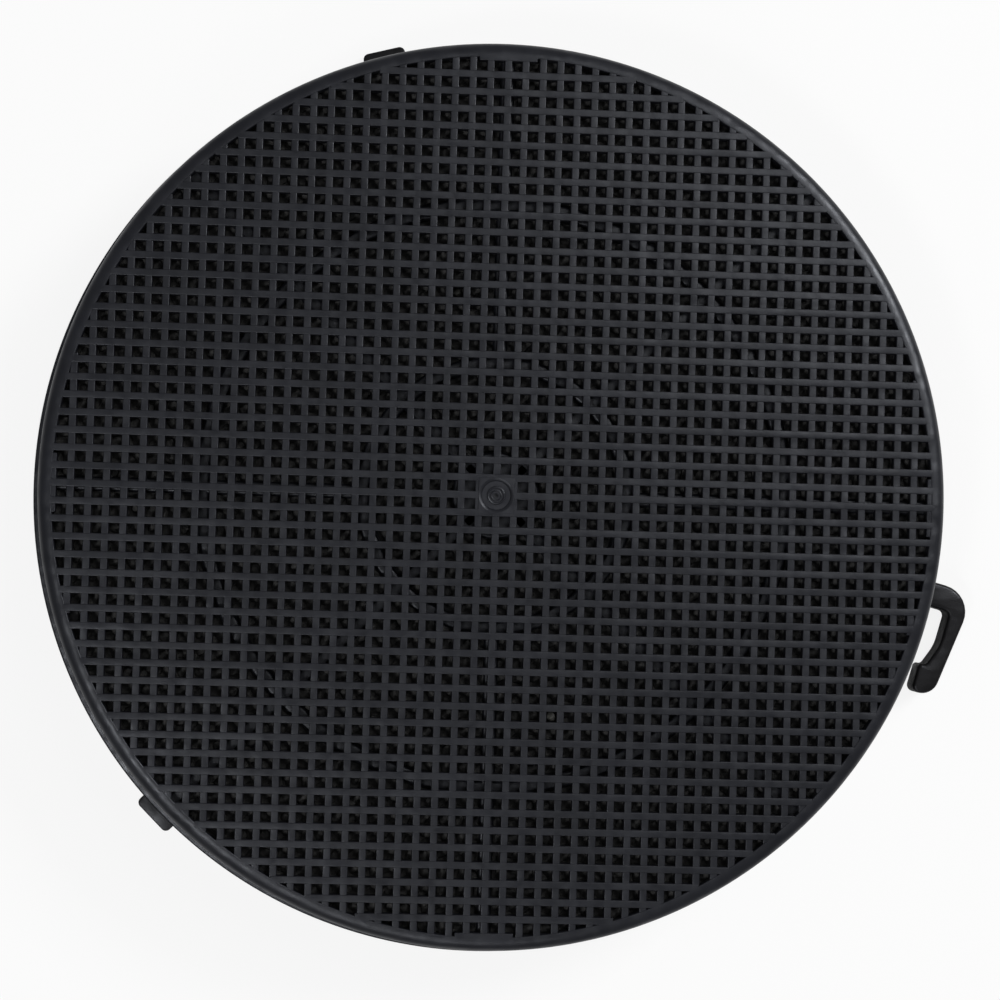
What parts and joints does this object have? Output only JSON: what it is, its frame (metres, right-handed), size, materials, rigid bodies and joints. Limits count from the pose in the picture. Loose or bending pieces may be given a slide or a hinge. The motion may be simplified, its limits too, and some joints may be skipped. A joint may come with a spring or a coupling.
{
  "type": "cooker hood carbon filter",
  "caption": "Round black plastic cooker hood carbon filter with a square-hole grille, edge lugs and a turning hook, filled with carbon granules.",
  "frame": {"origin": "centre of the back face, on the axis of the disc", "axes": "+Z along the disc's axis out of the visible grille, +X along the rows of the grille"},
  "size_m": [0.253, 0.245, 0.037],
  "materials": {
    "black_plastic": "satin black injection moulded plastic",
    "activated_carbon": "dull black carbon granules"
  },
  "bodies": {
    "root": {"casing": "black_plastic", "back_lid": "black_plastic", "granules": "activated_carbon"}
  },
  "joints": []
}
